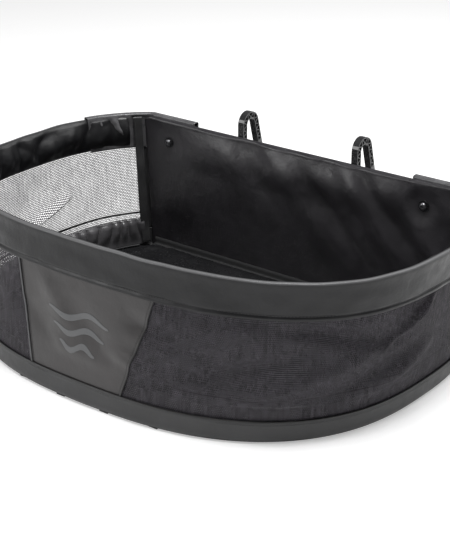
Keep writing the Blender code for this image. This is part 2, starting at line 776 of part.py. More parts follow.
def make_hook(side, x, board, outer_cover):
    """Moulded hook with a screwed foot plate behind the panel."""
    rings = []
    for edge in (-1, 1):
        ring = [place(x + edge * HOOK_WIDE / 2, y, z) for y, z in hook_outline()]
        rings.append(ring)
    hook = loft("hook_" + side, rings, "plastic")
    near_y = hook_centres()[0]
    back = near_y - HOOK_THICK / 2
    half = HOOK_PLATE_WIDE / 2
    low = (x - half, back, HOOK_FOOT + 0.001)
    high = (x + half, back + HOOK_PLATE_THICK, HOOK_PLATE_TOP)
    foot = box("hook_foot_" + side, low, high, "plastic")
    PARTS.objects.unlink(foot)
    cut(hook, hide_cutter(foot), "UNION")
    cut(hook, hook_pockets("hook_pockets_" + side, x))
    for name, step in (("inner", -HOOK_SCREW_OFFSET), ("outer", HOOK_SCREW_OFFSET)):
        centre = (x + step, HOOK_SCREW_HEIGHT)
        reach = (BOARD_FRONT + 0.0004, back + 0.03)
        label = "hook_screw_hole_" + side + "_" + name
        hole = cutter_rod(label, centre, HOOK_SCREW_RADIUS + HOLE_CLEARANCE, reach)
        for item in (hook, board, outer_cover):
            cut(item, hole)
        seat = back + HOOK_PLATE_THICK + GAP
        tip = BOARD_FRONT + 0.0008
        shank = seat - tip
        profile = (
            (0.0, shank),
            (HOOK_SCREW_RADIUS * 0.7, shank),
            (HOOK_SCREW_RADIUS, shank - 0.0005),
            (HOOK_SCREW_RADIUS, 0.0),
            (HOOK_SCREW_HEAD, 0.0),
            (HOOK_SCREW_HEAD, -0.0012),
            (HOOK_SCREW_HEAD * 0.7, -0.0022),
            (0.0, -0.0024),
        )
        turned("hook_screw_" + side + "_" + name, profile, (x + step, seat, centre[1]), "steel", 16)


def make_bolt(side, x, layers):
    """Corner bolt with a washer inside, and a washer and nut behind the panel."""
    nut_seat = TAB_Y + PATCH_OUTSIDE + GAP
    nut_foot = nut_seat + WASHER_THICK + GAP
    end = nut_foot + NUT_THICK + 0.0015
    centre = (x, BOLT_HEIGHT)
    hole_radius = BOLT_RADIUS + HOLE_CLEARANCE
    hole = cutter_rod("bolt_hole_" + side, centre, hole_radius, (-0.02, 0.04))
    for item in layers:
        cut(item, hole)

    for name, y in (("inner", -GAP - WASHER_THICK), ("outer", nut_seat)):
        rim = (
            (hole_radius, WASHER_THICK),
            (WASHER_RADIUS - 0.0003, WASHER_THICK),
            (WASHER_RADIUS, WASHER_THICK - 0.0003),
            (WASHER_RADIUS, 0.0),
            (hole_radius, 0.0),
            (hole_radius, WASHER_THICK),
        )
        turned("bolt_washer_" + side + "_" + name, rim, (x, y + WASHER_THICK, BOLT_HEIGHT), "steel")

    seat = -2 * GAP - WASHER_THICK
    top = BOLT_HEAD_HEIGHT
    profile = (
        (0.0, top),
        (BOLT_HEAD_RADIUS * 0.55, top * 0.97),
        (BOLT_HEAD_RADIUS * 0.82, top * 0.74),
        (BOLT_HEAD_RADIUS, top * 0.3),
        (BOLT_HEAD_RADIUS, 0.0),
        (BOLT_RADIUS, 0.0),
        (BOLT_RADIUS, seat - end + 0.0006),
        (BOLT_RADIUS - 0.0006, seat - end),
        (0.0, seat - end),
    )
    bolt = turned("corner_bolt_" + side, profile, (x, seat, BOLT_HEIGHT), "steel")
    socket = cutter_rod(
        "bolt_socket_" + side, centre, 0.0018, (seat - top - 0.002, seat - top * 0.4), 6
    )
    cut(bolt, socket)

    solid = bmesh.new()
    bmesh.ops.create_cone(
        solid, cap_ends=True, segments=6, radius1=NUT_RADIUS, radius2=NUT_RADIUS, depth=NUT_THICK
    )
    nut = add_mesh("corner_nut_" + side, solid, "steel")
    nut.location = place(x, nut_foot + NUT_THICK / 2, BOLT_HEIGHT)
    nut.rotation_euler = (math.pi / 2, 0.0, 0.0)
    cut(nut, hole)


FINISHES = {
    "vinyl": ((0.030, 0.030, 0.031), 0.42),
    "mesh": ((0.045, 0.044, 0.047), 0.62),
    "piping": ((0.008, 0.008, 0.008), 0.35),
    "strip": ((0.025, 0.025, 0.027), 0.50),
    "board": ((0.020, 0.020, 0.022), 0.45),
    "rubber": ((0.012, 0.012, 0.012), 0.80),
    "webbing": ((0.018, 0.018, 0.019), 0.75),
    "plastic": ((0.015, 0.015, 0.016), 0.28),
    "print": ((0.160, 0.165, 0.170), 0.50),
    "steel": ((0.060, 0.060, 0.062), 0.25, 0.9),
}

clear_scene()
PARTS = make_collection(COLLECTION)
CUTTERS = make_collection("cutters")

hoop = make_hoop()
make_sleeve()
patches = make_corner_patches()
make_walls()
make_front_piping()
make_bands()
make_emblem()
inner_cover, board, outer_cover = make_back_panel()
make_corner_seams()
make_floor()
make_floor_insert()
for side, x in HOOK_PLACES:
    make_hook(side, x, board, outer_cover)
for side, x in BOLT_PLACES:
    make_bolt(side, x, (hoop, patches[side], inner_cover, board, outer_cover))
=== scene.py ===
# The looks of a rail-hung stripping basket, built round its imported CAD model.
import math

import bpy
import numpy as np
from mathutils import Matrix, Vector


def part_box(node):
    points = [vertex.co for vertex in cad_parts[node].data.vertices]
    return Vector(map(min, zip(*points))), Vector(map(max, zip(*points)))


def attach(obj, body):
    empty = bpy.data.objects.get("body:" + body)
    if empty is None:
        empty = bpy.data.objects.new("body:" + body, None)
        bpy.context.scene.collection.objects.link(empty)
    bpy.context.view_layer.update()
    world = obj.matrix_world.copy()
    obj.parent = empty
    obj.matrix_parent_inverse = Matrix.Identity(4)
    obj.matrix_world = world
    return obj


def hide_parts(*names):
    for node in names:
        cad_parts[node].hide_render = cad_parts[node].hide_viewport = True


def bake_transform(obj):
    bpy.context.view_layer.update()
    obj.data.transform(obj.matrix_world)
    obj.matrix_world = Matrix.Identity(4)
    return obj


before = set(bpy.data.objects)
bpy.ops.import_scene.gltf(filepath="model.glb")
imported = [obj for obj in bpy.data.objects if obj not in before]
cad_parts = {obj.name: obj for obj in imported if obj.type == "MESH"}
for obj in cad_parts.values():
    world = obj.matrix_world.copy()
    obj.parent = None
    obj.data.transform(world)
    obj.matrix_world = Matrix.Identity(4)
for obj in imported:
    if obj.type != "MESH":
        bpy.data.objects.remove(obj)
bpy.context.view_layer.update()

BASKET = "basket"
INSERT = "floor_insert"

# ---- sizes shared with the CAD, in metres
RIM_TOP = 0.2205
BASE_LEVEL = 0.0023
RIM_SHAPE = (0.305, 0.369, 0.264, 2.73)  # half chord, half width, half depth, power
BASE_SHAPE = (0.2937, 0.3358, 0.2933, 2.535)
STATIONS = 64  # steps of the CAD's outline round the D
PANEL_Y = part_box("back_cover_inner")[0][1]  # inner face of the back panel
COVER_BACK = 0.0056  # back face of the panel, behind PANEL_Y
PANEL_FOOT = 0.0042
PANEL_END = 0.017  # ends of the board, in from the corners
TOP_FOLD = 0.02  # inner cover's turn down the panel's back
TURN_START = 0.016  # bend round a corner, in from the corner
TURN_PEAK = 0.011
TURN_END = 0.006  # where it meets the wall, a share of the D
SLEEVE_MIDDLE = 0.00255  # cloth's middle, from the wall's middle
SLEEVE_OUTER_DROP = 0.05
SLEEVE_INNER_DROP = 0.049
PATCH_MIDDLE = 0.00475
PATCH_RISE = 0.0035  # patch's top, above the rim's
PATCH_DROP = 0.052
PATCH_ON_WALL = 4 / STATIONS
PATCH_ENDS = {"left": -0.2027, "right": 0.1927}
TAB_Y = 0.01125  # middle of the hoop's tabs, behind PANEL_Y
MESH_TUCK = 0.004  # wall's edge, up under the sleeve
BAND_TOP = 0.031
INNER_BAND_TOP = 0.05
BAND_TAB_END = 0.262  # band's half length behind the panel
FRONT_TOP_HALF = 0.129
FRONT_BOTTOM_HALF = 0.071
FRONT_BOTTOM_SHIFT = -0.015
HINGE_Y = -0.0062
BOLTS = {"left": -0.249, "right": 0.216}
BOLT_HEIGHT = 0.1856
EMBLEM_ROWS = ((0.118, 0.05), (0.097, 0.042), (0.076, 0.03))  # height, half width
EMBLEM_STROKE = 0.0085
EMBLEM_SWELL = 0.0045
TURN_STEPS = 14

# ---- sizes of the looks alone
CLOTH = 0.0009
THIN_CLOTH = 0.0007
NETTING = 0.0003
SLEEVE_EDGE = 0.0505  # rim's top, across the cloth from its outer hem, where a highlight line is painted
HEM_GROOVE = 0.0062  # sewn groove, up from a hem
PATCH_STATIONS = 60
PATCH_SEAM_ROWS = (4, 8)  # rows of the profile, from the outer hem
STITCH_LIFT = 0.0006
SEAM_TAPE = (0.0586, 0.0612)  # height of the tape inside the mesh
SEAM_TAPE_ENDS = {"left": (TURN_END, 0.39), "right": (0.6, 1 - TURN_END)}
BAND_ROLL = 0.006  # rolled lower edge of the foot band
BAND_LINE = COVER_BACK - 0.0008
SEAM_LINE = COVER_BACK - 0.0019
SEAM_END_SHARE = 0.0092
SEAM_REACH = 0.034  # corner seam behind the panel, from the corner
COVER_END = 0.0062  # ends of the inner cover, in from the corners
COVER_TURN = 0.0055  # rounding of the cover over the board's top
COVER_GAP = 0.0005
BACK_TURN = 0.004
PANEL_MIDDLE = 0.11
BINDING_SHARES = (0.0004, 0.01)
BINDING_OUT = -0.0064
BINDING_SEAMS = (2, 9)  # columns of a binding that are sewn
FLOOR_SEAM = 0.0058  # height of the pipings round the floor
PIPING = 0.0014
INSERT_INSET = 0.0104  # insert's edge, in from the wall
CORNER_INSET = 0.0085  # and further in at the back corners
INSERT_REAR_INSET = 0.02

# ---- looks
MESH_PITCH_ALONG = 0.0027
MESH_PITCH_UP = 0.0025
MESH_HOLE = 0.358  # radius of a hole, in pitches
WEAVE_PITCH = 0.0011
RIB_PITCH = 0.0016
# colour of a painted highlight line along an edge of coated cloth
EDGE_HIGHLIGHT = (0.11, 0.11, 0.113)
WHITE = (1.0, 1.0, 1.0, 1.0)
STAGE_SIZE = 14.0
STAGE_TONE = (0.74, 0.74, 0.74)
STAGE_GLOW = 0.38
WORLD_GLOW = 0.21
LIGHT_TARGET = (0, 0, 0.1)
LIGHTS = (  # name, place, size, energy
    ("top", (0.3, -0.1, 2.5), (1.1, 1.0), 66),
    ("back", (0.5, 1.5, 2.2), (1.5, 0.9), 26),
    ("left", (-1.8, -2.2, 1.2), (1.4, 1.2), 27),
)
CAMERA_LENS = 96.26
CAMERA_PLACE = (1.2022, PANEL_Y - 1.689, 0.9002)
CAMERA_AIM = (-0.5719, 0.72126, -0.39079)


# ---- the D outline
def run_length(points):
    """Distance along a row of points, from its first."""
    steps = np.linalg.norm(np.diff(points, axis=0), axis=1)
    return np.concatenate(([0.0], np.cumsum(steps)))


def d_outline(half_chord, half_width, half_depth, power):
    """Outline from the left corner round the front to the right corner."""
    across_share = half_chord / half_width
    corner = half_depth * (1 - across_share ** power) ** (1 / power)
    start = math.atan2((corner / half_depth) ** (power / 2), across_share ** (power / 2))
    turn = np.linspace(math.pi - start, 2 * math.pi + start, 4001)
    across = np.cos(turn)
    along = np.sin(turn)
    x = half_width * np.sign(across) * np.abs(across) ** (2 / power)
    y = half_depth * np.sign(along) * np.abs(along) ** (2 / power) - corner
    run = run_length(np.stack((x, y), -1))
    return {"share": run / run[-1], "x": x, "y": y, "length": run[-1]}


RIM_LINE = d_outline(*RIM_SHAPE)
BASE_LINE = d_outline(*BASE_SHAPE)
WALL_LENGTH = (RIM_LINE["length"] + BASE_LINE["length"]) / 2


def level_at(height):
    return (height - BASE_LEVEL) / (RIM_TOP - BASE_LEVEL)


def half_chord_at(height):
    level = level_at(height)
    return BASE_SHAPE[0] * (1 - level) + RIM_SHAPE[0] * level


def half_panel_at(height):
    return half_chord_at(height) - PANEL_END


def wall_plan(share, height):
    """Middle of the wall in plan, for arrays of shares and heights."""
    share, height = np.broadcast_arrays(share, height)
    level = level_at(height)[..., None]
    plans = []
    for line in (BASE_LINE, RIM_LINE):
        x = np.interp(share, line["share"], line["x"])
        y = np.interp(share, line["share"], line["y"])
        plans.append(np.stack((x, y), -1))
    return plans[0] * (1 - level) + plans[1] * level


def outward(along):
    """Level unit vectors square to directions of travel, out of the basket."""
    square = np.stack((along[..., 1], -along[..., 0]), -1)
    return square / np.linalg.norm(square, axis=-1, keepdims=True)


def wall_normal(share, height):
    step = 0.002
    return outward(wall_plan(share + step, height) - wall_plan(share - step, height))


def raised(plan, height):
    """Plan points in panel coordinates to points in the frame."""
    height = np.broadcast_to(height, plan.shape[:-1])
    return np.concatenate((plan + np.array((0.0, PANEL_Y)), height[..., None]), -1)


def on_wall(share, height, out):
    """Points a level distance outside the middle of the wall."""
    share, height, out = np.broadcast_arrays(share, height, out)
    return raised(wall_plan(share, height) + out[..., None] * wall_normal(share, height), height)


def arc_of(share):
    """Distance along the wall from the middle of the front, right is positive."""
    return (share - 0.5) * WALL_LENGTH


def corner_turn(side, height, line_y):
    """Middles and normals from the panel's line round a corner to the wall."""
    chord = half_chord_at(height)
    start = np.array((side * (chord - TURN_START), line_y))
    peak = np.array((side * (chord - TURN_PEAK), line_y))
    end = wall_plan(np.array(TURN_END if side < 0 else 1 - TURN_END), np.array(height))
    t = (np.arange(TURN_STEPS) / TURN_STEPS)[:, None]
    points = start * (1 - t) ** 2 + peak * 2 * t * (1 - t) + end * t ** 2
    along = (peak - start) * (1 - t) + (end - peak) * t
    return points, outward(-side * along)


def hooped_row(shares, height, line_y, left_end=None, right_end=None):
    """Middles and normals along the wall, and behind the panel where an end is given."""
    height = float(height)
    middles = [wall_plan(shares, height)]
    normals = [wall_normal(shares, height)]
    for side, end in ((-1, left_end), (1, right_end)):
        if end is None:
            continue
        turn, turn_normals = corner_turn(side, height, line_y)
        tab_x = np.linspace(end, turn[0, 0], 26)[:-1]
        tab = np.stack((tab_x, np.full_like(tab_x, line_y)), -1)
        tab_normals = np.tile((0.0, 1.0), (len(tab_x), 1))
        points = np.concatenate((tab, turn))
        directions = np.concatenate((tab_normals, turn_normals))
        if side < 0:
            middles.insert(0, points)
            normals.insert(0, directions)
        else:
            middles.append(points[::-1])
            normals.append(directions[::-1])
    return np.concatenate(middles), np.concatenate(normals)


def hooped_points(shares, heights, line_y, ends, outs):
    """Rows of points round the wall and behind the panel, outs(run, height) off its middle."""
    points = []
    for height in heights:
        middles, normals = hooped_row(shares, height, line_y, **ends)
        out = outs(run_length(middles), height)
        points.append(raised(middles + out[:, None] * normals, height))
    return np.array(points)


# ---- shaping cloth
def smooth(value, low, high):
    """Smooth step from 0 at low to 1 at high."""
    t = np.clip((value - low) / (high - low), 0, 1)
    return t * t * (3 - 2 * t)


def bell(value, centre, width):
    return np.exp(-((value - centre) / width) ** 2)


def pillow(phase):
    """Rounded puffs between sharp creases, from 0 to 1."""
    return np.abs(np.sin(phase)) ** 0.7


def ripples(u, v, seed, wavelength, count=9):
    """Smooth uneven waves between about -1 and 1."""
    draw = np.random.default_rng(seed)
    total = np.zeros(np.broadcast(u, v).shape)
    for _ in range(count):
        turn = draw.uniform(0, math.tau)
        size = wavelength * draw.uniform(0.6, 1.7)
        phase = draw.uniform(0, math.tau)
        total += np.sin((u * math.cos(turn) + v * math.sin(turn)) * math.tau / size + phase)
    return total / count ** 0.5 / 1.2


def fold(u, v, start, end, width, rise):
    """A ridge along a line, fading at both ends."""
    line = np.array(end) - np.array(start)
    length = np.hypot(*line)
    t = ((u - start[0]) * line[0] + (v - start[1]) * line[1]) / length ** 2
    off = ((u - start[0]) * line[1] - (v - start[1]) * line[0]) / length
    fade = np.sin(math.pi * np.clip(t, 0, 1)) ** 0.8
    return rise * bell(off, 0, width) * fade


def folds(u, v, table):
    """The folds of a table together: each from, to, half width and rise."""
    return sum(fold(u, v, *row) for row in table)


# Folds of the wall, from and to as (arc, height).
WALL_FOLDS = (
    ((0.05, 0.034), (0.33, 0.13), 0.0115, -0.0085),
    ((0.13, 0.02), (0.42, 0.12), 0.013, 0.0095),
    ((0.23, 0.014), (0.5, 0.11), 0.011, -0.008),
    ((0.33, 0.014), (0.52, 0.095), 0.011, 0.007),
    ((0.1, 0.085), (0.29, 0.185), 0.014, 0.0075),
    ((0.2, 0.185), (0.47, 0.11), 0.012, -0.0095),
    ((0.41, 0.106), (0.53, 0.19), 0.006, 0.01),
    ((0.06, 0.14), (0.22, 0.1), 0.013, -0.006),
    ((0.03, 0.09), (0.2, 0.06), 0.01, 0.005),
    ((-0.09, 0.18), (-0.02, 0.09), 0.015, 0.003),
    ((-0.11, 0.12), (-0.04, 0.06), 0.014, -0.0026),
    ((-0.03, 0.14), (0.06, 0.07), 0.018, -0.0036),
    ((-0.08, 0.075), (0.07, 0.06), 0.013, 0.0034),
    ((-0.495, 0.08), (-0.588, 0.11), 0.0044, -0.0114),
    ((-0.42, 0.06), (-0.56, 0.15), 0.03, 0.008),
    ((-0.33, 0.16), (-0.2, 0.06), 0.015, -0.0064),
    ((-0.42, 0.05), (-0.23, 0.14), 0.015, 0.0064),
)


def wall_out(arc, height):
    """How far the slack wall stands out of its true shape."""
    held = smooth(height, BAND_TOP + 0.01, 0.078) * smooth(RIM_TOP - height, 0.048, 0.075)
    return (0.0012 * ripples(arc, height, 3, 0.13) + folds(arc, height, WALL_FOLDS)) * held


def sleeve_gathers(arc, drop):
    """Puffs of the slack inner side of the rim sleeve, largest at the side walls."""
    sides = 0.25 + 0.75 * smooth(np.abs(arc), 0.3, 0.48)
    lean = arc + 0.35 * drop * np.sign(arc)
    puffs = pillow(math.pi * (lean / 0.052 + 0.35 * ripples(arc, drop, 11, 0.16)))
    finer = pillow(math.pi * (lean / 0.021 + 0.3 * ripples(arc, drop, 12, 0.09)))
    held = np.sin(math.pi * np.clip(drop / SLEEVE_INNER_DROP, 0, 1)) ** 0.8
    creases = np.abs(ripples(arc, drop, 13, 0.07))
    return (0.0078 * puffs + 0.0014 * finer + 0.0034 * creases) * sides * held


def band_gathers(arc, height):
    """Small puffs of the inner band, sewn down along its top edge."""
    sides = 0.45 + 0.55 * smooth(np.abs(arc), 0.3, 0.5)
    phase = math.pi * (arc / 0.0215 + 0.7 * ripples(arc, height * 0.4, 21, 0.09))
    held = smooth(INNER_BAND_TOP - height, 0.0, 0.008) * smooth(height, 0.008, 0.034)
    return 0.0064 * pillow(phase) * sides * held


# Folds of the panel's cover, from and to as (x, height).
PANEL_FOLDS = (
    ((-0.07, 0.222), (0.14, 0.03), 0.026, 0.0052),
    ((-0.02, 0.222), (0.15, 0.05), 0.015, -0.005),
    ((0.07, 0.222), (0.22, 0.05), 0.02, 0.0058),
    ((0.1, 0.222), (0.225, 0.09), 0.012, -0.005),
    ((0.19, 0.17), (0.285, 0.06), 0.014, 0.0044),
    ((-0.16, 0.205), (-0.03, 0.1), 0.024, 0.0026),
    ((-0.12, 0.222), (-0.07, 0.16), 0.014, -0.003),
    ((-0.105, 0.226), (-0.045, 0.18), 0.016, -0.0026),
    ((0.03, 0.226), (0.095, 0.18), 0.016, -0.0026),
)


def cover_bulge(x, height):
    """How far the back panel's inner cover swells into the basket."""
    middle = 1 - 0.8 * smooth(np.abs(x + 0.01), 0.15, 0.26)
    drop = RIM_TOP - height
    shoulder = smooth(drop, -0.016, 0.036) * (1 - 0.5 * smooth(drop, 0.036, 0.076))
    swell = 0.0098 * middle * shoulder * smooth(height, 0.0, 0.12)
    out = swell + 0.0006 * ripples(x, height, 31, 0.11) + folds(x, height, PANEL_FOLDS)
    near_bolt = 1.0
    for bolt_x in BOLTS.values():
        near_bolt = near_bolt * smooth(np.hypot(x - bolt_x, height - BOLT_HEIGHT), 0.01, 0.034)
    edges = smooth(half_panel_at(height) - np.abs(x), 0.0, 0.03)
    foot = smooth(height, PANEL_FOOT, 0.035)
    return np.maximum(out, -0.0002) * near_bolt * edges * foot


# ---- materials
def new_material(name, colour, roughness, metallic=0.0):
    material = bpy.data.materials.new(name)
    material.use_nodes = True
    shader = material.node_tree.nodes["Principled BSDF"]
    shader.inputs["Base Color"].default_value = (*colour, 1.0)
    shader.inputs["Roughness"].default_value = roughness
    shader.inputs["Metallic"].default_value = metallic
    return material, material.node_tree, shader


def feed(tree, value, socket):
    """Links a socket, or sets a plain number or colour."""
    if isinstance(value, tuple):
        socket.default_value = (*value, 1.0)
    elif isinstance(value, float):
        socket.default_value = value
    else:
        tree.links.new(value, socket)


def calc(tree, operation, first, second=0.0):
    node = tree.nodes.new("ShaderNodeMath")
    node.operation = operation
    feed(tree, first, node.inputs[0])
    feed(tree, second, node.inputs[1])
    return node.outputs[0]


def object_place(tree):
    return tree.nodes.new("ShaderNodeTexCoord").outputs["Object"]


def cloth_place(tree):
    """The cloth's own coordinates, in metres along and across it."""
    node = tree.nodes.new("ShaderNodeAttribute")
    node.attribute_name = "cloth"
    apart = tree.nodes.new("ShaderNodeSeparateXYZ")
    tree.links.new(node.outputs["Vector"], apart.inputs[0])
    return apart.outputs


def noise(tree, scale, detail=3.0, vector=None):
    """Noise over the object's own coordinates, or over a vector."""
    node = tree.nodes.new("ShaderNodeTexNoise")
    node.inputs["Scale"].default_value = scale
    node.inputs["Detail"].default_value = detail
    tree.links.new(vector or object_place(tree), node.inputs["Vector"])
    return node.outputs["Fac"]


def waves(tree, place, pitch):
    """Even waves along one of the cloth's coordinates."""
    return calc(tree, "SINE", calc(tree, "MULTIPLY", place, math.tau / pitch))


def spread(tree, value, low, high, out_low=0.0, out_high=1.0):
    """Maps a range onto another, smoothly, held at its ends."""
    node = tree.nodes.new("ShaderNodeMapRange")
    node.interpolation_type = "SMOOTHSTEP"
    for socket, number in zip(list(node.inputs)[1:5], (low, high, out_low, out_high)):
        socket.default_value = number
    tree.links.new(value, node.inputs[0])
    return node.outputs[0]


def blend_colours(tree, share, first, second):
    node = tree.nodes.new("ShaderNodeMix")
    node.data_type = "RGBA"
    feed(tree, share, node.inputs["Factor"])
    colours = [s for s in node.inputs if s.type == "RGBA"]
    result = [s for s in node.outputs if s.type == "RGBA"][0]
    feed(tree, first, colours[0])
    feed(tree, second, colours[1])
    return result


def bump(tree, height, distance, normal=None):
    node = tree.nodes.new("ShaderNodeBump")
    node.inputs["Distance"].default_value = distance
    tree.links.new(height, node.inputs["Height"])
    if normal is not None:
        tree.links.new(normal, node.inputs["Normal"])
    return node.outputs["Normal"]


def tones(tree, share, colour, dark, light):
    """A colour that runs from darkened to lightened."""
    ends = [tuple(channel * factor for channel in colour) for factor in (dark, light)]
    return blend_colours(tree, share, *ends)


def dress(tree, shader, tint, normal, rough=None):
    """Links colour, surface and, where it varies, roughness to a shader."""
    tree.links.new(tint, shader.inputs["Base Color"])
    tree.links.new(normal, shader.inputs["Normal"])
    if rough is not None:
        tree.links.new(rough, shader.inputs["Roughness"])


def coated_fabric(name, colour, roughness=0.46, mottle=0.22, grain=1.0, highlight_place=None, gloss=0.5):
    """Coated cloth: fine pebbled grain over a faint base weave, mottled, with a painted highlight
    line where a place for one is given.

    An edge place, when given, is where across the cloth a lighter line is painted as a highlight.
    """
    material, tree, shader = new_material(name, colour, roughness)
    along, across, _ = cloth_place(tree)
    broad = calc(tree, "MULTIPLY", noise(tree, 14.0, 4.0), 0.6)
    smudge = noise(tree, 55.0, 5.0)
    mixed = calc(tree, "ADD", broad, calc(tree, "MULTIPLY", smudge, 0.4))
    tone = spread(tree, mixed, 0.32, 0.68)
    tint = tones(tree, tone, colour, 1 - mottle, 1 + mottle)
    # painted highlight: the cloth is lightened along a line at the given place across it
    if highlight_place is not None:
        away = calc(tree, "ABSOLUTE", calc(tree, "SUBTRACT", across, highlight_place))
        highlight_share = spread(tree, away, 0.0014, 0.0038, 1.0, 0.0)
        tint = blend_colours(tree, highlight_share, tint, EDGE_HIGHLIGHT)
    warp = waves(tree, along, WEAVE_PITCH)
    weft = waves(tree, across, WEAVE_PITCH)
    weave = bump(tree, calc(tree, "MULTIPLY", warp, weft), 0.000012 * grain)
    pebbles = bump(tree, noise(tree, 950.0, 2.0), 0.00011 * grain, weave)
    rough = spread(tree, smudge, 0.3, 0.7, roughness - 0.05, roughness + 0.07)
    dress(tree, shader, tint, bump(tree, smudge, 0.0009 * grain, pebbles), rough)
    shader.inputs["Specular IOR Level"].default_value = gloss
    return material


def knitted_mesh(name, colour):
    """See-through netting: staggered rows of holes between threads of uneven width."""
    material, tree, shader = new_material(name, colour, 0.62)
    along, upward, _ = cloth_place(tree)
    row = calc(tree, "DIVIDE", upward, MESH_PITCH_UP)
    stagger = calc(tree, "MULTIPLY", calc(tree, "FLOOR", row), 0.5)
    column = calc(tree, "ADD", calc(tree, "DIVIDE", along, MESH_PITCH_ALONG), stagger)
    squares = []
    for count in (column, row):
        off = calc(tree, "SUBTRACT", calc(tree, "FRACT", count), 0.5)
        squares.append(calc(tree, "MULTIPLY", off, off))
    distance = calc(tree, "SQRT", calc(tree, "ADD", *squares))
    squash = tree.nodes.new("ShaderNodeVectorMath")
    squash.operation = "MULTIPLY"
    squash.inputs[1].default_value = (1.0, 1.0, 0.07)
    tree.links.new(object_place(tree), squash.inputs[0])
    streak = noise(tree, 420.0, 2.0, squash.outputs[0])
    uneven = calc(tree, "ADD", distance, calc(tree, "MULTIPLY", streak, 0.26))
    thread = spread(tree, uneven, MESH_HOLE + 0.09, MESH_HOLE + 0.17)
    tree.links.new(thread, shader.inputs["Alpha"])
    tint = tones(tree, spread(tree, streak, 0.3, 0.7), colour, 0.55, 1.5)
    dress(tree, shader, tint, bump(tree, distance, 0.0002))
    shader.inputs["Specular IOR Level"].default_value = 0.25
    return material


def moulded(name, colour, roughness, grain=1.0, coat=0.0):
    """Moulded plastic or rubber with a fine surface texture."""
    material, tree, shader = new_material(name, colour, roughness)
    broad = noise(tree, 90.0, 4.0)
    tint = tones(tree, broad, colour, 0.8, 1.25)
    rough = spread(tree, broad, 0.3, 0.7, roughness - 0.06, roughness + 0.08)
    dress(tree, shader, tint, bump(tree, noise(tree, 1200.0, 2.0), 0.00005 * grain), rough)
    shader.inputs["Coat Weight"].default_value = coat
    return material


def thread_material(name, colour):
    """Twisted sewing thread."""
    material, tree, shader = new_material(name, colour, 0.6)
    twist = noise(tree, 2600.0, 1.0)
    tint = tones(tree, twist, colour, 0.6, 1.5)
    dress(tree, shader, tint, bump(tree, twist, 0.0001))
    return material


def worn_metal(name, colour, roughness):
    """Dark plated steel with fine turning marks and rubbed spots."""
    material, tree, shader = new_material(name, colour, roughness, 0.9)
    marks = noise(tree, 900.0)
    tint = tones(tree, spread(tree, marks, 0.4, 0.75), colour, 0.7, 1.8)
    rough = spread(tree, marks, 0.3, 0.7, roughness - 0.08, roughness + 0.1)
    dress(tree, shader, tint, bump(tree, marks, 0.00003), rough)
    return material


def woven_tape(name, colour):
    """Ribbed woven tape, ribs across its length."""
    material, tree, shader = new_material(name, colour, 0.75)
    ribbed = bump(tree, waves(tree, cloth_place(tree)[0], RIB_PITCH), 0.0001)
    fuzz = noise(tree, 700.0)
    tint = tones(tree, fuzz, colour, 0.6, 1.4)
    dress(tree, shader, tint, bump(tree, fuzz, 0.00015, ribbed))
    return material


MATERIALS = {
    # rim cloth with a painted highlight line along the rim's top
    "sleeve": coated_fabric("rim_cloth", (0.0085, 0.0085, 0.0095), 0.38, highlight_place=SLEEVE_EDGE,
                            gloss=0.34),
    # light-grey patch cloth, its colour raised further as painted light falling from above
    "patch": coated_fabric("patch_cloth_painted_light", (0.088, 0.087, 0.091), 0.28),
    "front": coated_fabric("front_cloth", (0.031, 0.028, 0.028), 0.38, 0.2),
    "band": coated_fabric("band_cloth", (0.026, 0.026, 0.027)),
    # light colour of the gathered inner band is painted light; the cloth itself is dark vinyl
    "inner": coated_fabric("gathered_cloth_painted_light", (0.08, 0.078, 0.082), 0.24),
    "cover": coated_fabric("cover_cloth", (0.021, 0.0195, 0.0225), 0.33),
    "binding": coated_fabric("binding_cloth", (0.032, 0.032, 0.033), 0.4),
    "floor": coated_fabric("floor_cloth_finish", (0.011, 0.011, 0.012), 0.27, 0.1, 0.3),
    "mesh": knitted_mesh("netting", (0.043, 0.039, 0.046)),
    "piping": moulded("piping_finish", (0.008, 0.008, 0.008), 0.36),
    "plastic": moulded("hook_finish", (0.014, 0.014, 0.015), 0.26, 0.6, 0.3),
    "strip": moulded("hoop_finish", (0.022, 0.022, 0.024), 0.5),
    "board": moulded("board_finish", (0.02, 0.02, 0.022), 0.5),
    "rubber": moulded("runner_finish", (0.012, 0.012, 0.012), 0.8, 3.0),
    "print": moulded("print_finish", (0.105, 0.107, 0.11), 0.55, 2.0),
    "thread": thread_material("thread_finish", (0.035, 0.035, 0.036)),
    "bolt": worn_metal("bolt_finish", (0.14, 0.14, 0.147), 0.3),
    "washer": worn_metal("washer_finish", (0.03, 0.03, 0.032), 0.4),
    "tape": woven_tape("tape_finish", (0.02, 0.02, 0.021)),
}
FINISHES = {
    "rim_hoop": "strip", "back_board": "board", "floor_runner": "rubber", "corner_bolt": "bolt",
    "corner_nut": "bolt", "bolt_washer": "washer", "hook_screw": "bolt",
}


# ---- making pieces
def add_object(name, data):
    item = bpy.data.objects.new(name, data)
    bpy.context.scene.collection.objects.link(item)
    return item


def add_piece(name, mesh, material, body, nodes):
    """An object of one material, on its body, standing for its CAD nodes."""
    item = add_object(name, mesh)
    mesh.materials.append(MATERIALS[material])
    if body is not None:
        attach(item, body)
    if nodes:
        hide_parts(*nodes)
    return item


def points_of(x, y, z):
    """One array of points from arrays or plain numbers."""
    return np.stack(np.broadcast_arrays(x, y, z), -1)


